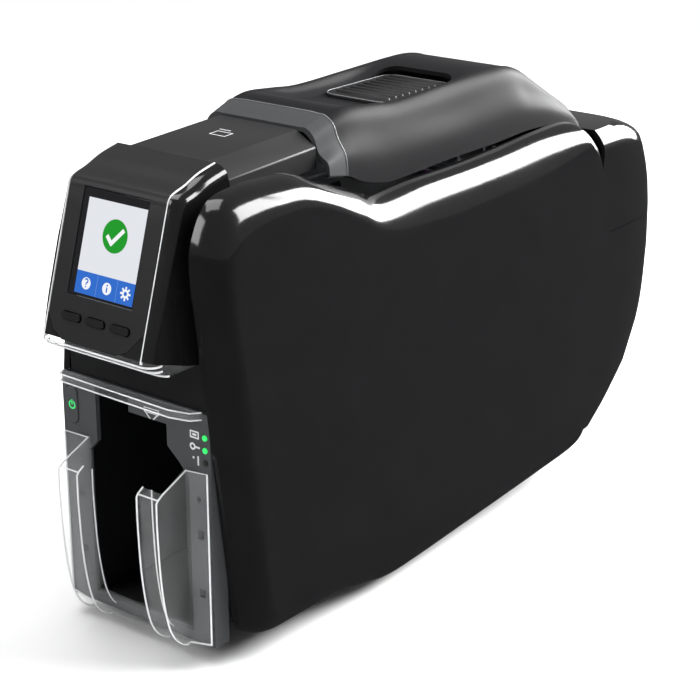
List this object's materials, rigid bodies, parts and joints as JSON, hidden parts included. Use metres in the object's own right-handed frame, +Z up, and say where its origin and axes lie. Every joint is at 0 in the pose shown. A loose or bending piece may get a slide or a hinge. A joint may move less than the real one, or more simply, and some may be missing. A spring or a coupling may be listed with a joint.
{
  "type": "id card printer",
  "caption": "Upright desktop card printer with a drop-down side door, a hinged feeder hood, a colour display head and a clear output hopper.",
  "frame": {"origin": "centre of the footprint, on the surface the feet stand on", "axes": "+X towards the side door, +Y from the display to the feeder hood, +Z up"},
  "size_m": [0.131, 0.482, 0.2809],
  "materials": {
    "black_gloss_abs": "polished black, faint orange peel",
    "black_satin_abs": "fine spark-eroded satin",
    "grey_fascia_abs": "matte dark grey",
    "black_liner_abs": "dull black",
    "clear_polycarbonate": "clear, polished edges",
    "screen_glass": "black mask glass",
    "screen_lit": "lit panel",
    "green_light": "diffused lens",
    "foot_rubber": "matte",
    "zinc_steel": "zinc plated sheet",
    "shaft_steel": "ground shaft",
    "roller_rubber": "fine ground rubber",
    "gear_acetal": "natural acetal",
    "brass_pinion": "turned",
    "motor_steel": "dark plated can",
    "circuit_board": "solder mask",
    "print_head_ceramic": "anodised block",
    "ribbon_film": "thin dye film",
    "sticky_roller": "tacky sleeve"
  },
  "bodies": {
    "chassis": {"base_tray": "black_liner_abs", "left_housing": "black_gloss_abs", "front_fascia": "grey_fascia_abs", "card_bay": "black_liner_abs", "front_cover": "black_satin_abs", "face_shell": "black_satin_abs", "light_bezel": "clear_polycarbonate", "screen_glass": "screen_glass", "lcd_panel": "screen_lit", "display_board": "circuit_board", "head_top_cap": "black_satin_abs", "top_cover": "black_satin_abs", "door_hinge_pins": "shaft_steel", "rear_housing": "black_gloss_abs", "hood_pins": "shaft_steel", "feed_lip": "clear_polycarbonate", "status_lights": "green_light", "rubber_feet": "foot_rubber", "left_frame": "zinc_steel", "right_frame": "zinc_steel", "drive_motor": "motor_steel", "head_pivot_shaft": "shaft_steel", "ribbon_cartridge": "grey_fascia_abs", "ribbon_film": "ribbon_film", "feeder_tower": "grey_fascia_abs", "main_board": "circuit_board", "port_panel": "black_liner_abs", "usb_port": "zinc_steel", "network_port": "zinc_steel", "power_inlet": "black_liner_abs", "housing_screws": "shaft_steel"},
    "door": {"side_door": "black_gloss_abs", "door_liner": "black_liner_abs"},
    "hood": {"feeder_hood": "black_gloss_abs", "hood_arms": "black_liner_abs"},
    "release": {"release_pad": "black_satin_abs", "latch_bar": "zinc_steel"},
    "hopper": {"output_hopper": "clear_polycarbonate"},
    "power_key": {"power_button": "black_gloss_abs"},
    "left_key": {"left_key": "black_gloss_abs"},
    "middle_key": {"middle_key": "black_gloss_abs"},
    "right_key": {"right_key": "black_gloss_abs"},
    "exit_roller": {"exit_roller": "roller_rubber"},
    "exit_idler": {"exit_idler": "gear_acetal"},
    "platen": {"platen_roller": "roller_rubber"},
    "feed_idler": {"feed_idler": "gear_acetal"},
    "feed_roller": {"feed_roller": "roller_rubber"},
    "exit_pinch": {"exit_pinch": "shaft_steel"},
    "feed_pinch": {"feed_pinch": "shaft_steel"},
    "cleaning_roller": {"cleaning_roller": "sticky_roller"},
    "pinion": {"motor_pinion": "brass_pinion"},
    "print_head": {"print_head_arm": "zinc_steel", "print_head": "print_head_ceramic"},
    "supply_spool": {"supply_spool": "ribbon_film"},
    "takeup_spool": {"takeup_spool": "ribbon_film"},
    "card_weight": {"card_weight": "grey_fascia_abs"},
    "pick_roller": {"pick_roller": "roller_rubber"}
  },
  "joints": [
    {"name": "door_hinge", "type": "hinge", "parent": "chassis", "child": "door", "pos_m": [0.049, -0.041, 0.027], "axis": [0, 1, 0], "range_deg": [0, 85]},
    {"name": "hood_hinge", "type": "hinge", "parent": "chassis", "child": "hood", "pos_m": [-0.0025, 0.151, 0.214], "axis": [1, 0, 0], "range_deg": [0, 55]},
    {"name": "release_press", "type": "slide", "parent": "chassis", "child": "release", "axis": [0, 0, -1], "range_m": [0, 0.003], "stiffness_N_per_m": 600, "springref_m": -0.003},
    {"name": "hopper_lift", "type": "slide", "parent": "chassis", "child": "hopper", "axis": [0, 0, 1], "range_m": [0, 0.002]},
    {"name": "power_press", "type": "slide", "parent": "chassis", "child": "power_key", "axis": [0, 1, 0], "range_m": [0, 0.001], "stiffness_N_per_m": 400, "springref_m": -0.001},
    {"name": "left_key_press", "type": "slide", "parent": "chassis", "child": "left_key", "axis": [0, 0.9563, -0.2924], "range_m": [0, 0.0008], "stiffness_N_per_m": 400, "springref_m": -0.001},
    {"name": "middle_key_press", "type": "slide", "parent": "chassis", "child": "middle_key", "axis": [0, 0.9563, -0.2924], "range_m": [0, 0.0008], "stiffness_N_per_m": 400, "springref_m": -0.001},
    {"name": "right_key_press", "type": "slide", "parent": "chassis", "child": "right_key", "axis": [0, 0.9563, -0.2924], "range_m": [0, 0.0008], "stiffness_N_per_m": 400, "springref_m": -0.001},
    {"name": "platen_spin", "type": "hinge", "parent": "chassis", "child": "platen", "pos_m": [-0.0075, -0.048, 0.117], "axis": [1, 0, 0], "continuous": true},
    {"name": "exit_spin", "type": "hinge", "parent": "chassis", "child": "exit_roller", "pos_m": [-0.0075, -0.123, 0.117], "axis": [1, 0, 0], "continuous": true},
    {"name": "exit_idler_spin", "type": "hinge", "parent": "chassis", "child": "exit_idler", "pos_m": [-0.0545, -0.0855, 0.117], "axis": [1, 0, 0], "continuous": true},
    {"name": "feed_idler_spin", "type": "hinge", "parent": "chassis", "child": "feed_idler", "pos_m": [-0.0545, -0.0105, 0.117], "axis": [1, 0, 0], "continuous": true},
    {"name": "feed_spin", "type": "hinge", "parent": "chassis", "child": "feed_roller", "pos_m": [-0.0075, 0.027, 0.117], "axis": [1, 0, 0], "continuous": true},
    {"name": "pinion_spin", "type": "hinge", "parent": "chassis", "child": "pinion", "pos_m": [-0.0545, -0.0855, 0.0845], "axis": [1, 0, 0], "continuous": true},
    {"name": "exit_pinch_spin", "type": "hinge", "parent": "chassis", "child": "exit_pinch", "pos_m": [-0.0075, -0.123, 0.1319], "axis": [1, 0, 0], "continuous": true},
    {"name": "feed_pinch_spin", "type": "hinge", "parent": "chassis", "child": "feed_pinch", "pos_m": [-0.0075, 0.027, 0.1319], "axis": [1, 0, 0], "continuous": true},
    {"name": "cleaning_spin", "type": "hinge", "parent": "chassis", "child": "cleaning_roller", "pos_m": [-0.0075, 0.069, 0.1339], "axis": [1, 0, 0], "continuous": true},
    {"name": "pick_spin", "type": "hinge", "parent": "chassis", "child": "pick_roller", "pos_m": [-0.0075, 0.127, 0.117], "axis": [1, 0, 0], "continuous": true},
    {"name": "supply_spin", "type": "hinge", "parent": "chassis", "child": "supply_spool", "pos_m": [-0.0075, -0.01, 0.192], "axis": [1, 0, 0], "continuous": true},
    {"name": "takeup_spin", "type": "hinge", "parent": "chassis", "child": "takeup_spool", "pos_m": [-0.0075, -0.086, 0.192], "axis": [1, 0, 0], "continuous": true},
    {"name": "head_lift", "type": "hinge", "parent": "chassis", "child": "print_head", "pos_m": [-0.0075, 0.047, 0.214], "axis": [-1, 0, 0], "range_deg": [0, 4]},
    {"name": "weight_lift", "type": "slide", "parent": "chassis", "child": "card_weight", "axis": [0, 0, 1], "range_m": [0, 0.07]}
  ],
  "couplings": [
    {"joint": "exit_spin", "follows": "platen_spin", "ratio": 1},
    {"joint": "exit_idler_spin", "follows": "platen_spin", "ratio": -0.5},
    {"joint": "feed_idler_spin", "follows": "platen_spin", "ratio": -0.5},
    {"joint": "feed_spin", "follows": "platen_spin", "ratio": 1},
    {"joint": "pinion_spin", "follows": "platen_spin", "ratio": 1.6667}
  ]
}
